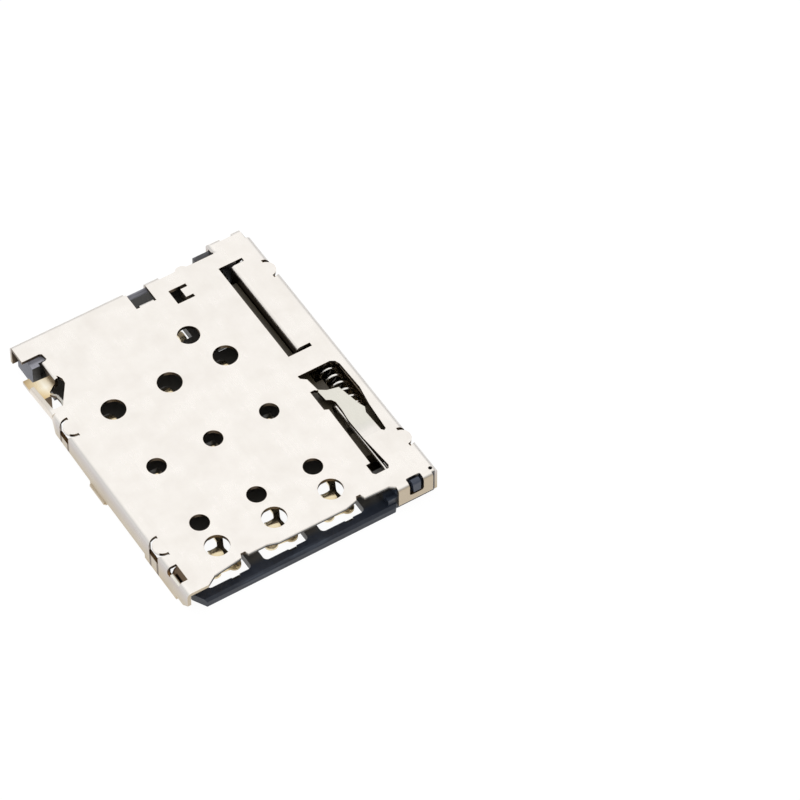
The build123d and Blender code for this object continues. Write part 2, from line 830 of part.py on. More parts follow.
# Coil spring
reach = spring_back - spring_front - 2 * wire_radius
coil_points = []
for step in range(spring_turns * turn_steps + 1):
    angle = 2 * math.pi * step / turn_steps
    x = spring_radius * math.cos(angle)
    z = spring_radius * math.sin(angle)
    y = reach * step / (spring_turns * turn_steps)
    coil_points.append((spring_x + x, spring_front + wire_radius + y, spring_z + z))
coil = Polyline(*coil_points)
wire = Plane(origin=coil @ 0, z_dir=coil % 0) * RegularPolygon(wire_radius, 6)
save(sweep(wire, coil, transition=Transition.RIGHT), "coil_spring")
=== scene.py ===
import math

import bmesh
import bpy
from mathutils import Matrix, Vector


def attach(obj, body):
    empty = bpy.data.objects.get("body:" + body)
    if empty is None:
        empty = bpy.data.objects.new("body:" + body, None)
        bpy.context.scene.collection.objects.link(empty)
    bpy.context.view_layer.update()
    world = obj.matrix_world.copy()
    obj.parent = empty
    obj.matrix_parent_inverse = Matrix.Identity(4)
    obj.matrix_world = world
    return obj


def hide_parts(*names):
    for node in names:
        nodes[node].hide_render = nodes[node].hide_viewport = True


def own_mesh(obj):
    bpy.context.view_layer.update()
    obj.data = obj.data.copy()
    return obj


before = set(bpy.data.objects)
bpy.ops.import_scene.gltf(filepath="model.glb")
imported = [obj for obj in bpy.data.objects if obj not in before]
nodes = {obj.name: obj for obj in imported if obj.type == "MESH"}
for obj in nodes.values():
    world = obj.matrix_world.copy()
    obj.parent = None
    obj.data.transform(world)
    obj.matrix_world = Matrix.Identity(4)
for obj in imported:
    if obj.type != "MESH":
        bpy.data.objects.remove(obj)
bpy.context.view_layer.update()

# Lengths are in millimetres unless a line says otherwise
MM = 0.001
# The contact grid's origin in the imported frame
GRID_X = 0.09
GRID_Y = -0.475
# Top of the shell's plate
PLATE_TOP = 1.28


# ---------------------------------------------------------------- materials

# Width over which a sharp edge is worn
RIM_WIDTH = 0.03
# Distance between the contact columns
COLUMN_PITCH = 2.54
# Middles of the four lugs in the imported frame, and the slot round each
LUGS = ((-5.20, 2.085), (-5.20, -4.735), (5.28, 4.885), (5.28, -5.185))
LUG_EDGE = 0.45
LUG_SLOT = 0.53


def new_material(name):
    material = bpy.data.materials.new(name)
    material.use_nodes = True
    tree = material.node_tree
    shader = tree.nodes["Principled BSDF"]
    return material, tree, shader


def add(tree, kind, **inputs):
    node = tree.nodes.new(kind)
    for key, value in inputs.items():
        node.inputs[key.replace("_", " ")].default_value = value
    return node


def noise(tree, coords, scale, detail=3.0, roughness=0.5, stretch=None):
    if stretch is not None:
        mapping = tree.nodes.new("ShaderNodeMapping")
        mapping.inputs["Scale"].default_value = stretch
        tree.links.new(coords, mapping.inputs["Vector"])
        coords = mapping.outputs["Vector"]
    node = add(tree, "ShaderNodeTexNoise", Scale=scale, Detail=detail, Roughness=roughness)
    tree.links.new(coords, node.inputs["Vector"])
    return node.outputs["Fac"]


def ramp(tree, value, stops):
    node = tree.nodes.new("ShaderNodeValToRGB")
    points = node.color_ramp.elements
    while len(points) < len(stops):
        points.new(0.5)
    for point, (place, colour) in zip(points, stops):
        point.position = place
        point.color = (*colour, 1.0)
    tree.links.new(value, node.inputs["Fac"])
    return node.outputs["Color"]


def span(tree, value, low, high, out_low, out_high):
    node = tree.nodes.new("ShaderNodeMapRange")
    limits = {"From Min": low, "From Max": high, "To Min": out_low, "To Max": out_high}
    for key, limit in limits.items():
        node.inputs[key].default_value = limit
    tree.links.new(value, node.inputs["Value"])
    return node.outputs["Result"]


def fade(tree, value, start, end):
    """0 up to the start and 1 past the end, which may be the smaller of the two."""
    return span(tree, value, start, end, 0.0, 1.0)


def fade_mm(tree, value, start, end):
    """The same for a place given in millimetres."""
    return fade(tree, value, start * MM, end * MM)


def math_node(tree, operation, a, b):
    node = tree.nodes.new("ShaderNodeMath")
    node.operation = operation
    for socket, value in zip(node.inputs, (a, b)):
        if isinstance(value, (int, float)):
            socket.default_value = value
        else:
            tree.links.new(value, socket)
    return node.outputs["Value"]


def mix_colour(tree, factor, a, b, blend="MIX"):
    node = tree.nodes.new("ShaderNodeMix")
    node.data_type = "RGBA"
    node.blend_type = blend
    factor_in, a_in, b_in = node.inputs[0], node.inputs[6], node.inputs[7]
    for socket, value in ((factor_in, factor), (a_in, a), (b_in, b)):
        if isinstance(value, (int, float)):
            socket.default_value = value
        elif isinstance(value, tuple):
            socket.default_value = (*value, 1.0)
        else:
            tree.links.new(value, socket)
    return node.outputs[2]


def edge_mask(tree):
    """1 where the surface turns sharply within the rim's width."""
    bevel = tree.nodes.new("ShaderNodeBevel")
    bevel.samples = 4
    bevel.inputs["Radius"].default_value = RIM_WIDTH * MM
    geometry = tree.nodes.new("ShaderNodeNewGeometry")
    dot = tree.nodes.new("ShaderNodeVectorMath")
    dot.operation = "DOT_PRODUCT"
    tree.links.new(bevel.outputs["Normal"], dot.inputs[0])
    tree.links.new(geometry.outputs["Normal"], dot.inputs[1])
    return fade(tree, dot.outputs["Value"], 0.97, 0.75)


def bump(tree, shader, height, depth, strength):
    node = tree.nodes.new("ShaderNodeBump")
    node.inputs["Distance"].default_value = depth * MM
    node.inputs["Strength"].default_value = strength
    tree.links.new(height, node.inputs["Height"])
    tree.links.new(node.outputs["Normal"], shader.inputs["Normal"])


def object_coords(tree):
    return tree.nodes.new("ShaderNodeTexCoord").outputs["Object"]


def parts_of(tree, vector):
    split = tree.nodes.new("ShaderNodeSeparateXYZ")
    tree.links.new(vector, split.inputs["Vector"])
    return split.outputs["X"], split.outputs["Y"], split.outputs["Z"]


def facing(tree):
    """X, Y and Z of the surface's direction."""
    return parts_of(tree, tree.nodes.new("ShaderNodeNewGeometry").outputs["Normal"])


def times(tree, *values):
    out = values[0]
    for value in values[1:]:
        out = math_node(tree, "MULTIPLY", out, value)
    return out


def opposite(tree, mask):
    return math_node(tree, "SUBTRACT", 1.0, mask)


def either(tree, a, b):
    return math_node(tree, "MAXIMUM", a, b)


def within(tree, value, low, high, soft=0.04):
    """1 between two places given in millimetres, with soft ends."""
    up = fade_mm(tree, value, low - soft, low + soft)
    down = span(tree, value, (high - soft) * MM, (high + soft) * MM, 1.0, 0.0)
    return times(tree, up, down)


def over(tree, colour, mask, shade, strength=None):
    """The colour with a shade laid over it where the mask is 1."""
    factor = mask if strength is None else times(tree, mask, strength)
    return mix_colour(tree, factor, colour, shade)


def plated_metal(name, colour, tint, edge, rough, grain_along, grain_scale=9000.0, tone=None):
    """Plated sheet metal: rolling grain, faint stains, and sheared edges of another colour."""
    material, tree, shader = new_material(name)
    coords = object_coords(tree)
    shader.inputs["Metallic"].default_value = 1.0
    stains = noise(tree, coords, 900.0, 4.0, 0.6)
    clouds = ramp(tree, stains, [(0.35, colour), (0.68, tint)])
    grain = noise(tree, coords, grain_scale, 3.0, 0.6, grain_along)
    streaked = mix_colour(tree, span(tree, grain, 0.3, 0.7, 0.0, 0.10), clouds, tint)
    if tone is not None:
        streaked = tone(tree, coords, streaked)
    worn = over(tree, streaked, edge_mask(tree), edge, 0.6)
    tree.links.new(worn, shader.inputs["Base Color"])
    uneven = span(tree, stains, 0.3, 0.7, rough * 0.8, rough * 1.25)
    rougher = math_node(tree, "ADD", uneven, span(tree, grain, 0.3, 0.7, -0.03, 0.05))
    tree.links.new(rougher, shader.inputs["Roughness"])
    bump(tree, shader, grain, 0.0003, 0.25)
    return material


def moulded(name, colour, light, rough, tone=None):
    """Glass-filled plastic: flow mottle, pale fibre specks, and a fine moulded grain."""
    material, tree, shader = new_material(name)
    coords = object_coords(tree)
    flow = noise(tree, coords, 1100.0, 5.0, 0.65, (1.0, 0.45, 1.0))
    body = ramp(tree, flow, [(0.30, colour), (0.70, light)])
    if tone is not None:
        body = tone(tree, coords, body)
    fibres = noise(tree, coords, 16000.0, 2.0, 0.8, (1.0, 0.35, 1.0))
    pale = tuple(min(1.0, c * 3.0) for c in light)
    flecked = mix_colour(tree, span(tree, fibres, 0.62, 0.78, 0.0, 0.35), body, pale)
    # Painted highlight: sharp edges of the moulding are lighter
    edge_painted_highlight = over(tree, flecked, edge_mask(tree), tuple(c * 2.4 for c in light), 0.35)
    tree.links.new(edge_painted_highlight, shader.inputs["Base Color"])
    uneven = span(tree, flow, 0.3, 0.7, rough - 0.06, rough + 0.10)
    tree.links.new(uneven, shader.inputs["Roughness"])
    shader.inputs["Specular IOR Level"].default_value = 0.4
    grain = noise(tree, coords, 22000.0, 4.0, 0.6)
    bump(tree, shader, grain, 0.003, 0.7)
    return material


def painted_wall_reflection(tree, z):
    """Painted reflection on the folded walls: tan at the foot, greyer towards the bend."""
    return ramp(
        tree,
        fade_mm(tree, z, 0.0, PLATE_TOP),
        [
            (0.0, (0.50, 0.41, 0.28)),
            (0.40, (0.53, 0.46, 0.36)),
            (0.72, (0.53, 0.475, 0.43)),
            (0.86, (0.56, 0.52, 0.50)),
            (0.97, (0.74, 0.72, 0.69)),
        ],
    )


def painted_strap_light(tree, x, y):
    """Painted light and shade on the strap behind the left notch: bright in the middle, gold and brown at its
    ends.
    """
    across = ramp(
        tree,
        fade_mm(tree, x, -5.6, -4.6),
        [
            (0.0, (0.70, 0.55, 0.34)),
            (0.35, (0.88, 0.76, 0.54)),
            (0.6, (1.0, 0.95, 0.82)),
            (1.0, (0.75, 0.62, 0.42)),
        ],
    )
    along = ramp(
        tree,
        fade_mm(tree, y, 3.8, 5.4),
        [
            (0.0, (0.32, 0.21, 0.10)),
            (0.22, (0.85, 0.72, 0.50)),
            (0.5, (1.0, 1.0, 1.0)),
            (0.8, (0.85, 0.80, 0.70)),
            (1.0, (0.45, 0.41, 0.35)),
        ],
    )
    return mix_colour(tree, 0.85, across, along, "MULTIPLY")


def painted_gap_shade(tree, x, y, z, nx, upright):
    """1 where shade is painted: on the faces round the four lugs and behind the window of the left bend."""
    gaps = times(
        tree,
        within(tree, x, -5.50, -5.05, 0.02),
        within(tree, y, -6.68, -5.72),
        fade(tree, nx, -0.98, -0.9),
        within(tree, z, 0.84, 1.255, 0.01),
    )
    for lug_x, lug_y in LUGS:
        dx = math_node(tree, "SUBTRACT", x, lug_x * MM)
        dy = math_node(tree, "SUBTRACT", y, lug_y * MM)
        squared = math_node(tree, "ADD", times(tree, dx, dx), times(tree, dy, dy))
        reach = math_node(tree, "SQRT", squared, 0.0)
        near = fade_mm(tree, reach, LUG_SLOT + 0.01, LUG_SLOT)
        outer_wall = times(tree, upright, fade_mm(tree, reach, LUG_EDGE, LUG_EDGE + 0.01))
        under_lug = either(tree, within(tree, z, 0.70, 1.125, 0.01), outer_wall)
        gaps = either(tree, gaps, times(tree, near, under_lug))
    return gaps


def shell_tone(tree, coords, colour):
    """The plate is pale; painted reflection and shade make its bends greyer, the walls champagne, and what
    faces inwards dark.
    """
    x, y, z = parts_of(tree, coords)
    nx, ny, nz = facing(tree)
    upright = span(tree, math_node(tree, "ABSOLUTE", nz, 0.0), 0.35, 0.55, 1.0, 0.0)
    facing_up = fade(tree, nz, 0.80, 0.95)
    # The pale bend along the long window keeps the plate's colour
    flange = times(
        tree,
        within(tree, x, 4.02, 4.52, 0.02),
        within(tree, y, 0.72, 9.0),
        fade_mm(tree, z, 1.08, 1.16),
    )
    not_flange = opposite(tree, flange)
    # Painted reflection: below the plate the walls take a colour that darkens towards the foot
    below_plate = times(tree, fade_mm(tree, z, 1.262, 1.225), not_flange)
    toned = over(tree, colour, below_plate, painted_wall_reflection(tree, z))
    # Painted light: flat upward faces below the plate are lighter than the walls
    leaf_painted_light = times(tree, below_plate, fade(tree, nz, 0.90, 0.97))
    toned = over(tree, toned, leaf_painted_light, (0.84, 0.82, 0.74))
    # Painted highlight: the rail by the left wall is bright cream
    rail_painted_highlight = times(
        tree,
        within(tree, y, 2.9, 4.9, 0.2),
        span(tree, x, -5.30 * MM, -5.36 * MM, 0.0, 0.8),
        below_plate,
    )
    toned = over(tree, toned, rail_painted_highlight, (0.86, 0.79, 0.70))
    # Painted light and shade on the strap's upward faces
    strap = times(tree, facing_up, fade_mm(tree, z, 1.00, 0.96))
    toned = over(tree, toned, strap, painted_strap_light(tree, x, y))
    # Painted light: upward faces at the foot are lighter than the walls
    tab_painted_light = times(tree, facing_up, fade_mm(tree, z, 0.50, 0.45))
    toned = over(tree, toned, tab_painted_light, (0.86, 0.82, 0.75))
    # Painted shade: faces turned to the front on the front wall are darker
    front_wall_painted_shade = times(tree, fade(tree, ny, -0.6, -0.9), fade_mm(tree, y, -7.22, -7.26))
    toned = over(tree, toned, front_wall_painted_shade, (0.52, 0.44, 0.33))
    # Painted shade: upright faces within the shell are dark brown
    inside_painted_shade = times(
        tree,
        within(tree, x, -5.485, 5.53, 0.015),
        within(tree, y, -7.20, 6.80, 0.015),
        upright,
        not_flange,
    )
    toned = over(tree, toned, inside_painted_shade, (0.10, 0.065, 0.035), 0.94)
    # Painted shade makes the front edge of the plate a thin grey line
    lip = times(tree, within(tree, y, -7.20, -6.70, 0.02), inside_painted_shade)
    lip_painted_shade = ramp(
        tree,
        fade_mm(tree, z, 1.13, PLATE_TOP),
        [(0.45, (0.09, 0.09, 0.09)), (0.62, (0.62, 0.60, 0.57))],
    )
    toned = over(tree, toned, lip, lip_painted_shade)
    # Painted shade: dark brown round the lugs and behind the window of the left bend
    return over(tree, toned, painted_gap_shade(tree, x, y, z, nx, upright), (0.11, 0.065, 0.03), 0.93)


def plate_tone(tree, coords, colour):
    """Gold outside; painted shade darkens the upward faces and the faces turned towards the spring."""
    x, y, z = parts_of(tree, coords)
    nx, ny, nz = facing(tree)
    to_lane = times(tree, fade_mm(tree, x, 4.6, 4.8), fade(tree, nx, -0.2, -0.6))
    lane = either(tree, fade(tree, nz, 0.2, 0.6), to_lane)
    return over(tree, colour, lane, (0.075, 0.056, 0.030), 0.94)


def coil_tone(tree, coords, colour):
    """The lower half of each turn lies in the dark of the lane."""
    z = parts_of(tree, coords)[2]
    return over(tree, colour, span(tree, z, 0.60 * MM, 0.48 * MM, 0.0, 0.95), (0.03, 0.025, 0.02))


def pin_tone(tree, coords, colour):
    """The wire's underside lies in the dark of the track."""
    z = parts_of(tree, coords)[2]
    return over(tree, colour, span(tree, z, 0.82 * MM, 0.76 * MM, 0.0, 0.9), (0.06, 0.05, 0.04))


def contact_tone(tree, coords, colour):
    """Painted shade on the right one of the two lobes of each front contact, which lies partly under the plate.
    """
    x, y, z = parts_of(tree, coords)
    place = math_node(tree, "MODULO", math_node(tree, "ADD", x, 11.87 * MM), COLUMN_PITCH * MM)
    lobe_painted_shade = times(tree, within(tree, place, 0.96, 1.62), within(tree, y, -7.2, -5.95))
    return over(tree, colour, lobe_painted_shade, (0.30, 0.22, 0.10), 0.75)


def housing_tone(tree, coords, colour):
    """The black moulding with painted light: a warm dark grey within the shell, a streaked grey sheen on the
    upper faces at the back, lighter faces at the block's left end and the latch lug, and highlight streaks
    along the front bar.
    """
    x, y, z = parts_of(tree, coords)
    nx, ny, nz = facing(tree)
    # Painted light: within the shell the moulding is a warm dark grey, standing for the light reflected there
    inner = times(
        tree,
        fade_mm(tree, y, -6.85, -6.60),
        fade(tree, nz, -0.6, -0.3),
        fade_mm(tree, z, 0.04, 0.08),
    )
    toned = over(tree, colour, inner, (0.058, 0.055, 0.048), 0.9)
    # Painted sheen: grey streaks on the upper faces at the back
    back_top_painted_sheen = times(
        tree,
        fade(tree, nz, 0.6, 0.9),
        fade_mm(tree, z, 0.94, 1.00),
        fade_mm(tree, y, 5.0, 5.4),
    )
    streak = noise(tree, coords, 2600.0, 2.0, 0.5, (0.18, 1.0, 1.0))
    painted_sheen = ramp(tree, streak, [(0.40, (0.05, 0.05, 0.06)), (0.60, (0.30, 0.30, 0.34))])
    toned = over(tree, toned, back_top_painted_sheen, painted_sheen, 0.95)
    # Painted light: the block's left end is a lighter slate
    left_end_painted_light = times(
        tree,
        fade(tree, nx, -0.6, -0.9),
        fade_mm(tree, y, 4.5, 4.8),
        fade_mm(tree, x, -4.8, -4.9),
    )
    toned = over(tree, toned, left_end_painted_light, (0.075, 0.080, 0.110), 0.95)
    # Painted highlight: lighter streaks along the front bar
    highlight_streaks = noise(tree, coords, 3200.0, 3.0, 0.6, (0.12, 1.0, 1.0))
    front_bar_painted_highlight = times(tree, fade_mm(tree, y, -6.70, -6.90), fade(tree, highlight_streaks, 0.50, 0.66))
    toned = over(tree, toned, front_bar_painted_highlight, (0.055, 0.068, 0.092), 0.7)
    # Painted light: the latch lug is a lighter slate blue
    latch_lug_painted_light = times(
        tree,
        within(tree, x, 4.20, 5.00),
        fade_mm(tree, y, -6.80, -6.90),
        fade_mm(tree, z, 0.62, 0.70),
    )
    return over(tree, toned, latch_lug_painted_light, (0.045, 0.055, 0.080), 0.9)


shell_metal = plated_metal(
    "nickel_shell",
    (0.97, 0.93, 0.88), (0.93, 0.885, 0.83), (0.62, 0.47, 0.30),
    0.30, (1.0, 0.04, 1.0), tone=shell_tone,
)
contact_gold = plated_metal(
    "gold_contact",
    (0.86, 0.76, 0.54), (0.78, 0.64, 0.40), (0.34, 0.22, 0.09),
    0.20, (1.0, 0.10, 1.0), tone=contact_tone,
)
plate_gold = plated_metal(
    "gold_plate",
    (0.93, 0.85, 0.68), (0.90, 0.77, 0.55), (0.78, 0.50, 0.22),
    0.26, (1.0, 0.05, 1.0), tone=plate_tone,
)
steel = plated_metal(
    "spring_wire",
    (0.92, 0.90, 0.86), (0.82, 0.80, 0.76), (0.60, 0.55, 0.50),
    0.18, (1.0, 1.0, 1.0), 20000.0, coil_tone,
)
pin_steel = plated_metal(
    "pin_wire",
    (0.90, 0.87, 0.82), (0.78, 0.75, 0.70), (0.40, 0.36, 0.32),
    0.16, (1.0, 1.0, 1.0), 20000.0, pin_tone,
)
housing_plastic = moulded(
    "housing_plastic", (0.009, 0.012, 0.020), (0.020, 0.026, 0.040), 0.34, tone=housing_tone
)
slider_plastic = moulded("slider_plastic", (0.036, 0.029, 0.018), (0.060, 0.049, 0.032), 0.34)

material_of = {
    "shell": shell_metal,
    "housing": housing_plastic,
    "channel_plate": plate_gold,
    "switch_spring": contact_gold,
    "switch_contact": contact_gold,
    "slider": slider_plastic,
    "coil_spring": steel,
    "cam_pin": pin_steel,
}
for number in (1, 2, 3, 5, 6, 7):
    material_of["contact_c%d" % number] = contact_gold


def paint(piece, material):
    piece.data.materials.clear()
    piece.data.materials.append(material)


def soften(piece, width):
    """Rounds the sharp edges of a CAD node without touching its mesh."""
    weld = piece.modifiers.new("weld", "WELD")
    weld.merge_threshold = 1e-7
    rounding = piece.modifiers.new("rounding", "BEVEL")
    rounding.width = width * MM
    rounding.segments = 2
    rounding.limit_method = "ANGLE"
    rounding.angle_limit = math.radians(40)
    rounding.use_clamp_overlap = True
    rounding.harden_normals = True
    rounding.miter_outer = "MITER_ARC"


def add_piece(name, mesh, material, body):
    """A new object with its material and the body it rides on."""
    piece = bpy.data.objects.new(name, mesh)
    bpy.context.scene.collection.objects.link(piece)
    paint(piece, material)
    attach(piece, body)
    return piece


def mesh_from(name, bm):
    mesh = bpy.data.meshes.new(name)
    bm.to_mesh(mesh)
    bm.free()
    return mesh


for name, piece in nodes.items():
    paint(piece, material_of[name])
soften(nodes["slider"], 0.03)


def round_edges(bm, edges, width):
    bmesh.ops.bevel(
        bm, geom=edges, offset=width, segments=2, profile=0.5, affect="EDGES", clamp_overlap=True
    )


# ---------------------------------------------------------------- wire pieces

def tube(name, path, radius, sides, material, body):
    """A round wire with round ends along a list of points in millimetres."""
    points = [Vector(p) * MM for p in path]
    bm = bmesh.new()
    rings = []
    tangents = []
    for i in range(len(points)):
        before = points[max(i - 1, 0)]
        after = points[min(i + 1, len(points) - 1)]
        tangents.append((after - before).normalized())
    side = tangents[0].orthogonal().normalized()
    r = radius * MM
    stations = [(point, tangent, r) for point, tangent in zip(points, tangents)]
    # Steps of the round ends: how far in along the wire, and how wide there
    cap = [(0.95, 0.31), (0.71, 0.71), (0.31, 0.95)]
    start = [(points[0] + tangents[0] * (r * (1 - a)), tangents[0], r * b) for a, b in cap]
    end = [(points[-1] - tangents[-1] * (r * (1 - a)), tangents[-1], r * b) for a, b in reversed(cap)]
    stations = start + stations[1:-1] + end
    for point, tangent, width in stations:
        side = (side - tangent * side.dot(tangent)).normalized()
        other = tangent.cross(side)
        ring = []
        for k in range(sides):
            angle = 2 * math.pi * k / sides
            ring.append(bm.verts.new(point + (side * math.cos(angle) + other * math.sin(angle)) * width))
        rings.append(ring)
    for a, b in zip(rings, rings[1:]):
        for k in range(sides):
            bm.faces.new((a[k], a[(k + 1) % sides], b[(k + 1) % sides], b[k]))
    bm.faces.new(list(reversed(rings[0])))
    bm.faces.new(rings[-1])
    bmesh.ops.recalc_face_normals(bm, faces=bm.faces)
    for face in bm.faces:
        face.smooth = True
    return add_piece(name, mesh_from(name, bm), material, body)


# Coil spring: closed end coils, even pitch between
spring_x = 4.77 + GRID_X
spring_z = 0.60
spring_front = -2.24 + GRID_Y
spring_back = 7.27 + GRID_Y
spring_length = spring_back - spring_front
coil_radius = 0.335
wire = 0.06
turns = 25
per_turn = 28
total = turns * per_turn
closed = 1.25 * per_turn
end_pitch = 2.1 * wire / per_turn
middle_pitch = (spring_length - 2 * wire - 2 * closed * end_pitch) / (total - 2 * closed)
coil = []
coil_y = spring_front + wire
for step in range(total + 1):
    angle = 2 * math.pi * step / per_turn + 0.6
    coil.append((spring_x + coil_radius * math.cos(angle), coil_y, spring_z + coil_radius * math.sin(angle)))
    near_end = min(step, total - 1 - step)
    coil_y += end_pitch if near_end < closed else middle_pitch
spring = tube("spring_coil", coil, wire, 10, steel, "socket")
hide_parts("coil_spring")
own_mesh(spring)

# Cam pin: a wire with rounded bends
pivot_x = 4.05 + GRID_X
pivot_y = -5.48 + GRID_Y
tip_y = -1.70 + GRID_Y
pin_z = 0.85
pin_radius = 0.10
bend = 0.12
pin_path = [(pivot_x, pivot_y, 0.06), (pivot_x, pivot_y, 0.35), (pivot_x, pivot_y, pin_z - bend - 0.02)]
for i in range(1, 8):
    angle = math.radians(90 * i / 8)
    pin_path.append((pivot_x, pivot_y + bend - bend * math.cos(angle), pin_z - bend + bend * math.sin(angle)))
for i in range(1, 12):
    pin_path.append((pivot_x, pivot_y + bend + (tip_y - pivot_y - 2 * bend) * i / 12, pin_z))
for i in range(1, 8):
    angle = math.radians(90 * i / 8)
    pin_path.append((pivot_x, tip_y - bend + bend * math.sin(angle), pin_z - bend + bend * math.cos(angle)))
pin_path += [(pivot_x, tip_y, pin_z - bend - 0.02), (pivot_x, tip_y, 0.53)]
pin = tube("pin_wire", pin_path, pin_radius, 20, pin_steel, "cam_pin")
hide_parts("cam_pin")


# ---------------------------------------------------------------- bent sheet pieces

# Thickness of the contact sheet and the width of its rolled rim
SHEET = 0.12
SHEET_RIM = 0.018


def rounded(points, radius, steps=4):
    """The outline with its corners turned into arcs. A point may carry its own radius as a third number."""
    out = []
    count = len(points)
    for i, point in enumerate(points):
        here = Vector(point[:2])
        r = point[2] if len(point) > 2 else radius
        before = Vector(points[i - 1][:2]) - here
        after = Vector(points[(i + 1) % count][:2]) - here
        reach = min(r, 0.45 * before.length, 0.45 * after.length)
        if reach < 1e-4:
            out.append(tuple(here))
            continue
        start = here + before.normalized() * reach
        end = here + after.normalized() * reach
        for k in range(steps + 1):
            t = k / steps
            out.append(tuple(start * (1 - t) ** 2 + here * 2 * t * (1 - t) + end * t ** 2))
    return out


def height_curve(points):
    """A smooth height over y through the points, flat beyond its ends."""
    points = sorted(points)
    ys = [p[0] for p in points]
    zs = [p[1] for p in points]
    slopes = []
    for i in range(len(points)):
        if i == 0 or i == len(points) - 1:
            slopes.append(0.0)
            continue
        left = (zs[i] - zs[i - 1]) / (ys[i] - ys[i - 1])
        right = (zs[i + 1] - zs[i]) / (ys[i + 1] - ys[i])
        slopes.append(0.0 if left * right <= 0 else 2 * left * right / (left + right))

    def at(y):
        if y <= ys[0]:
            return zs[0], 0.0
        if y >= ys[-1]:
            return zs[-1], 0.0
        i = max(k for k in range(len(ys) - 1) if ys[k] <= y)
        h = ys[i + 1] - ys[i]
        t = (y - ys[i]) / h
        ends = (zs[i], slopes[i] * h, zs[i + 1], slopes[i + 1] * h)
        shares = (2 * t**3 - 3 * t**2 + 1, t**3 - 2 * t**2 + t, 3 * t**2 - 2 * t**3, t**3 - t**2)
        changes = (6 * t**2 - 6 * t, 3 * t**2 - 4 * t + 1, 6 * t - 6 * t**2, 3 * t**2 - 2 * t)
        z = sum(share * end for share, end in zip(shares, ends))
        dz = sum(change * end for change, end in zip(changes, ends))
        return z, dz / h

    return at


def stamp(target, loops, heights, x0, cup=None, cuts_x=()):
    """Adds one stamped and bent sheet to the mesh: outlines in (x, y), the underside's height over y."""
    loops = [rounded(loop, radius) for loop, radius in loops]
    bm = bmesh.new()
    for loop in loops:
        verts = [bm.verts.new((x, y, 0)) for x, y in loop]
        for a, b in zip(verts, verts[1:] + verts[:1]):
            bm.edges.new((a, b))
    bmesh.ops.triangle_fill(bm, use_beauty=True, edges=bm.edges[:], normal=(0, 0, 1))
    ys = sorted(p[0] for p in heights)
    cuts = set()
    for a, b in zip(ys, ys[1:]):
        number = max(1, min(10, int((b - a) / 0.06)))
        cuts |= {round(a + (b - a) * k / number, 5) for k in range(number + 1)}
    planes = [((0, y, 0), (0, 1, 0)) for y in sorted(cuts)] + [((x, 0, 0), (1, 0, 0)) for x in cuts_x]
    for place, direction in planes:
        everything = bm.verts[:] + bm.edges[:] + bm.faces[:]
        bmesh.ops.bisect_plane(bm, geom=everything, plane_co=place, plane_no=direction)
    lifted = bmesh.ops.extrude_face_region(bm, geom=bm.faces[:], use_keep_orig=True)
    top = [g for g in lifted["geom"] if isinstance(g, bmesh.types.BMVert)]
    bmesh.ops.translate(bm, verts=top, vec=(0, 0, SHEET))
    bmesh.ops.recalc_face_normals(bm, faces=bm.faces)
    rims = [
        e
        for e in bm.edges
        if len(e.link_faces) == 2
        and e.calc_face_angle() > 1.0
        and abs(e.verts[0].co.z - e.verts[1].co.z) < 1e-6
    ]
    round_edges(bm, rims, SHEET_RIM)
    at = height_curve(heights)
    for v in bm.verts:
        x, y, n = v.co
        z, slope = at(y)
        if cup is not None:
            z += cup(x, y)
        size = math.sqrt(1 + slope * slope)
        v.co = ((x + x0 + GRID_X) * MM, (y + GRID_Y - n * slope / size) * MM, (z + n / size) * MM)
    mesh = mesh_from("part", bm)
    target.from_mesh(mesh)
    bpy.data.meshes.remove(mesh)


def sheet_piece(name, bm, node):
    """The stamped sheet that takes the place of a CAD node."""
    for face in bm.faces:
        face.smooth = True
    mesh = mesh_from(name, bm)
    mesh.set_sharp_from_angle(angle=math.radians(50))
    piece = add_piece(name, mesh, contact_gold, "socket")
    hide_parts(node)


probe_x = -0.14
probe_y = -2.40
probe_hole = 0.35


def stub_end(x_out, x_in, y_from):
    """The end of a lead that meets the round probe hole, as points from outside to inside."""
    side = 1 if x_out > probe_x else -1
    towards = 1 if y_from > probe_y else -1
    points = [(x_out, y_from), (x_out, probe_y + towards * 0.06)]
    for k in range(5):
        share = k / 4
        reach = abs(x_out - probe_x) * (1 - share) + abs(x_in - probe_x) * share
        if reach <= probe_hole:
            x = min(reach, probe_hole - 1e-4)
            points.append((probe_x + side * x, probe_y + towards * math.sqrt(probe_hole**2 - x**2)))
    points.append((x_in, y_from))
    return points


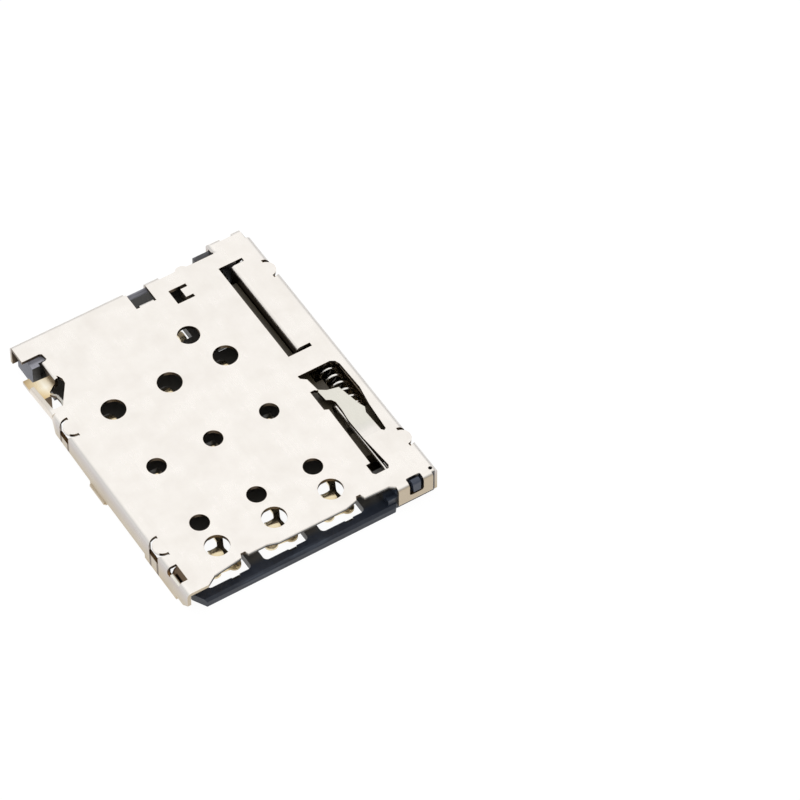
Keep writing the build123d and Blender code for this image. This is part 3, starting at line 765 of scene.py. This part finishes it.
# Back contacts: solder ring and a tapered leaf with a rolled tip
back_heights = [
    (-2.40, 0.16), (-1.68, 0.16), (-1.58, 0.02), (-1.50, 0.0), (-0.28, 0.0), (-0.22, 0.03),
    (-0.14, 0.14), (-0.08, 0.16), (0.50, 0.16), (0.72, 0.175), (1.25, 0.33), (1.62, 0.41),
    (1.95, 0.585), (2.15, 0.655), (2.32, 0.663), (2.47, 0.655), (2.62, 0.56), (2.82, 0.36), (2.95, 0.26),
]
right_stub = [(x, y, 0.0) for x, y in stub_end(0.27, 0.05, -1.60)]
left_stub = [(x, y, 0.0) for x, y in stub_end(-0.55, -0.33, -1.60)]
back_outline = (
    [(0.50, -0.15, 0.18), (0.50, -1.60, 0.20)]
    + right_stub
    + left_stub[::-1]
    + [
        (-0.78, -1.60, 0.20),
        (-0.78, -0.15, 0.18),
        (-0.62, -0.15, 0.0),
        (-0.74, -0.04, 0.02),
        (-0.74, 0.42, 0.02),
        (-0.72, 0.80, 0.3),
        (-0.52, 1.55, 0.4),
        (-0.38, 2.00, 0.2),
        (-0.34, 2.95, 0.10),
        (0.08, 2.95, 0.10),
        (0.06, 2.10, 0.2),
        (0.17, 1.65, 0.4),
        (0.44, 0.80, 0.3),
        (0.46, 0.42, 0.02),
        (0.46, -0.04, 0.02),
        (0.34, -0.15, 0.0),
    ]
)
back_window = [
    (0.30, -0.35, 0.10),
    (0.30, -1.40, 0.12),
    (-0.58, -1.40, 0.12),
    (-0.58, -0.35, 0.10),
    (-0.45, -0.35, 0.03),
    (-0.41, -0.40, 0.03),
    (-0.41, -0.83, 0.10),
    (0.08, -0.83, 0.14),
    (0.08, -0.40, 0.03),
    (0.12, -0.35, 0.03),
]

# Front contacts: solder frame, two arms to a curled front end, and a domed tongue
front_heights = [
    (-6.10, 0.225), (-5.76, 0.215), (-5.50, 0.175), (-5.10, 0.07), (-4.80, 0.0), (-3.50, 0.0),
    (-3.42, 0.02), (-3.32, 0.14), (-3.26, 0.16), (-2.40, 0.16),
]
lobe_radius = 0.28
lobes = [(0.46, -5.82), (-0.39, -5.76)]


def lobe_arc(centre, start, end, steps=9):
    points = []
    for k in range(steps + 1):
        angle = math.radians(start + (end - start) * k / steps)
        x = centre[0] + lobe_radius * math.cos(angle)
        points.append((x, centre[1] + lobe_radius * math.sin(angle), 0.0))
    return points


def lobe_dome(x, y):
    for cx, cy in lobes:
        off = ((x - cx) ** 2 + (y - cy) ** 2) / lobe_radius**2
        if off < 1.3:
            return 0.075 * (1 - off)
    return 0.0


right_back = [(x, y, 0.0) for x, y in stub_end(0.27, 0.05, -3.33)]
left_back = [(x, y, 0.0) for x, y in stub_end(-0.55, -0.33, -3.33)]
front_outline = (
    [(0.82, -3.33, 0.03)]
    + right_back
    + left_back[::-1]
    + [
        (-1.04, -3.33, 0.03),
        (-1.04, -4.36, 0.10),
        (-0.72, -4.80, 0.12),
        (-0.66, -5.62, 0.06),
    ]
    + lobe_arc(lobes[1], 165, 332)
    + lobe_arc(lobes[0], 208, 396)
    + [
        (0.60, -5.50, 0.06),
        (0.60, -4.80, 0.12),
        (0.82, -4.36, 0.10),
    ]
)
front_window = [
    (0.52, -3.52, 0.04),
    (0.52, -4.40, 0.10),
    (0.30, -4.82, 0.10),
    (0.30, -5.57, 0.04),
    (-0.42, -5.57, 0.04),
    (-0.42, -4.82, 0.10),
    (-0.74, -4.40, 0.10),
    (-0.74, -3.52, 0.04),
    (-0.38, -3.52, 0.03),
    (-0.34, -3.56, 0.03),
    (-0.34, -4.11, 0.10),
    (0.14, -4.11, 0.14),
    (0.14, -3.56, 0.03),
    (0.18, -3.52, 0.03),
]
tongue_heights = [
    (-5.83, 0.22), (-5.69, 0.24), (-5.58, 0.38), (-5.46, 0.60), (-5.38, 0.645), (-5.22, 0.640), (-5.10, 0.58),
    (-4.98, 0.48),
]
tongue_outline = [
    (-0.23, -5.80, 0.04),
    (-0.23, -4.98, 0.14),
    (0.23, -4.98, 0.14),
    (0.23, -5.80, 0.04),
]
lobe_cuts = [cx + dx for cx, cy in lobes for dx in (-0.18, -0.09, 0.0, 0.09, 0.18)]

columns = [1.55 - COLUMN_PITCH * k for k in range(3)]
for number, x0 in enumerate(columns):
    bm = bmesh.new()
    stamp(bm, [(back_outline, 0.05), (back_window, 0.05)], back_heights, x0)
    sheet_piece("back_contact_%d" % (number + 1), bm, "contact_c%d" % (number + 1))
    bm = bmesh.new()
    stamp(bm, [(front_outline, 0.05), (front_window, 0.05)], front_heights, x0, lobe_dome, lobe_cuts)
    stamp(bm, [(tongue_outline, 0.05)], tongue_heights, x0, cup=lambda x, y: -0.35 * x**2)
    sheet_piece("front_contact_%d" % (number + 1), bm, "contact_c%d" % (number + 5))

# Card-detect switch: the spring plate with its arms
plate_outline = [
    (1.22, 3.92, 0.04),
    (-0.03, 3.92, 0.10),
    (-0.48, 4.18, 0.10),
    (-2.30, 4.32, 0.25),
    (-2.52, 4.50, 0.15),
    (-2.52, 5.40, 0.15),
    (-2.38, 5.52, 0.04),
    (-2.17, 5.44, 0.04),
    (-2.17, 6.52, 0.10),
    (-1.42, 6.52, 0.16),
    (-1.42, 5.36, 0.03),
    (-0.86, 4.86, 0.12),
    (-0.80, 4.58, 0.04),
    (-0.60, 4.58, 0.04),
    (-0.56, 5.42, 0.08),
    (-0.26, 5.42, 0.08),
    (-0.20, 4.62, 0.04),
    (1.22, 4.62, 0.03),
]
plate_heights = [
    (3.9, 0.0), (4.62, 0.0), (5.40, 0.0), (5.55, 0.012), (5.75, 0.05), (5.98, 0.14), (6.20, 0.17), (6.52, 0.18),
]
plate_hole = [(1.00, 4.30, 0.05), (1.00, 4.54, 0.02), (0.62, 4.54, 0.05), (0.62, 4.40, 0.08)]
arm_outline = [
    (-0.02, 4.50, 0.04),
    (0.02, 5.00, 0.10),
    (0.16, 5.30, 0.12),
    (0.18, 5.70, 0.16),
    (0.70, 5.70, 0.16),
    (0.72, 5.20, 0.12),
    (0.60, 4.95, 0.10),
    (0.64, 4.50, 0.04),
]
arm_heights = [
    (4.50, 0.0), (4.62, 0.01), (4.78, 0.10), (5.00, 0.34), (5.16, 0.50), (5.28, 0.555), (5.40, 0.545),
    (5.56, 0.44), (5.70, 0.30),
]
hook_outline = [
    (0.80, 4.50, 0.04),
    (0.86, 4.90, 0.08),
    (0.80, 5.14, 0.10),
    (0.98, 5.26, 0.08),
    (1.10, 5.00, 0.08),
    (1.16, 4.50, 0.04),
]
hook_heights = [(4.50, 0.0), (4.64, 0.02), (4.84, 0.16), (5.04, 0.24), (5.26, 0.20)]
bm = bmesh.new()
stamp(bm, [(plate_outline, 0.05), (plate_hole, 0.04)], plate_heights, 0.0)
stamp(bm, [(arm_outline, 0.05)], arm_heights, 0.0)
stamp(bm, [(hook_outline, 0.05)], hook_heights, 0.0)
sheet_piece("switch_plate", bm, "switch_spring")


# ---------------------------------------------------------------- inner faces of the moulding

def block(bm, low, high):
    """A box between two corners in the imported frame."""
    low, high = Vector(low) * MM, Vector(high) * MM
    size = Matrix.Diagonal((*(high - low), 1.0))
    made = bmesh.ops.create_cube(bm, size=1.0, matrix=Matrix.Translation((low + high) / 2) @ size)
    round_edges(bm, list({e for v in made["verts"] for e in v.link_edges}), 0.01 * MM)


# The wall beside the spring's back end, and the bottoms of the front bar's three pockets, in a pure black that
# paints their shade
bm = bmesh.new()
block(bm, (4.19, 5.83, 0.02), (4.39, 6.79, 1.09))
for x0 in columns:
    block(bm, (x0 + 0.095, -7.0, 0.20), (x0 + 0.425, -6.885, 0.36))
# A pure black moulding: painted shade on these pieces
housing_painted_shade = moulded("housing_painted_shade", (0.006, 0.006, 0.006), (0.012, 0.012, 0.014), 0.4)
add_piece("housing_details", mesh_from("housing_details", bm), housing_painted_shade, "socket")


# ---------------------------------------------------------------- floor, light, camera

def world_light():
    world = bpy.data.worlds.new("studio")
    bpy.context.scene.world = world
    world.use_nodes = True
    tree = world.node_tree
    background = tree.nodes["Background"]
    x, y, z = parts_of(tree, tree.nodes.new("ShaderNodeTexCoord").outputs["Generated"])
    sky = ramp(
        tree,
        z,
        [
            (0.0, (0.56, 0.56, 0.58)),
            (0.34, (0.62, 0.62, 0.63)),
            (0.62, (0.95, 0.95, 0.95)),
            (0.80, (1.08, 1.08, 1.08)),
        ],
    )
    # The side that the left wall faces is evenly bright
    tree.links.new(over(tree, sky, fade(tree, x, -0.2, -0.6), (0.93, 0.93, 0.93)), background.inputs["Color"])
    background.inputs["Strength"].default_value = 0.955


def area_lamp(name, place, size, power):
    """A rectangular lamp that points at the origin. Place and size are in metres."""
    lamp = bpy.data.lights.new(name, "AREA")
    lamp.shape = "RECTANGLE"
    lamp.size, lamp.size_y = size
    lamp.energy = power
    holder = bpy.data.objects.new(name, lamp)
    holder.visible_glossy = False
    holder.location = place
    holder.rotation_mode = "QUATERNION"
    holder.rotation_quaternion = (-Vector(place)).to_track_quat("-Z", "Y")
    bpy.context.scene.collection.objects.link(holder)


def floor_piece():
    """A white floor just below the object that keeps its shadow."""
    bm = bmesh.new()
    bmesh.ops.create_grid(bm, x_segments=4, y_segments=4, size=1.5)
    floor = bpy.data.objects.new("floor", mesh_from("floor", bm))
    floor.location = (0, 0, -0.002 * MM)
    bpy.context.scene.collection.objects.link(floor)
    material, tree, shader = new_material("floor_white")
    tree.nodes.remove(shader)
    diffuse = add(tree, "ShaderNodeBsdfDiffuse", Color=(0.80, 0.80, 0.80, 1.0))
    glow = add(tree, "ShaderNodeEmission", Color=(1.0, 1.0, 1.0, 1.0), Strength=1.05)
    path = tree.nodes.new("ShaderNodeLightPath")
    seen = either(tree, path.outputs["Is Camera Ray"], path.outputs["Is Glossy Ray"])
    seen = either(tree, seen, path.outputs["Is Transmission Ray"])
    blend = tree.nodes.new("ShaderNodeMixShader")
    tree.links.new(times(tree, seen, 0.90), blend.inputs[0])
    tree.links.new(diffuse.outputs[0], blend.inputs[1])
    tree.links.new(glow.outputs[0], blend.inputs[2])
    tree.links.new(blend.outputs[0], tree.nodes["Material Output"].inputs["Surface"])
    floor.data.materials.append(material)


world_light()
area_lamp("key", (-0.10, 0.22, 0.30), (0.30, 0.22), 0.36)
area_lamp("fill", (-0.30, -0.20, 0.16), (0.20, 0.16), 0.10)
floor_piece()

# The photograph's camera, in degrees down from level and from the +Y axis towards +X
CAMERA_DOWN = 51.332
CAMERA_TURN = 32.284
camera_data = bpy.data.cameras.new("camera")
camera_data.lens = 225.0
camera_data.sensor_width = 36.0
camera_data.clip_start = 0.01
camera_data.clip_end = 20.0
camera = bpy.data.objects.new("camera", camera_data)
camera.location = (-0.05872, -0.106375, 0.15323)
camera.rotation_euler = (math.radians(90 - CAMERA_DOWN), 0, math.radians(-CAMERA_TURN))
bpy.context.scene.collection.objects.link(camera)
bpy.context.scene.camera = camera
bpy.context.scene.view_settings.view_transform = "Standard"
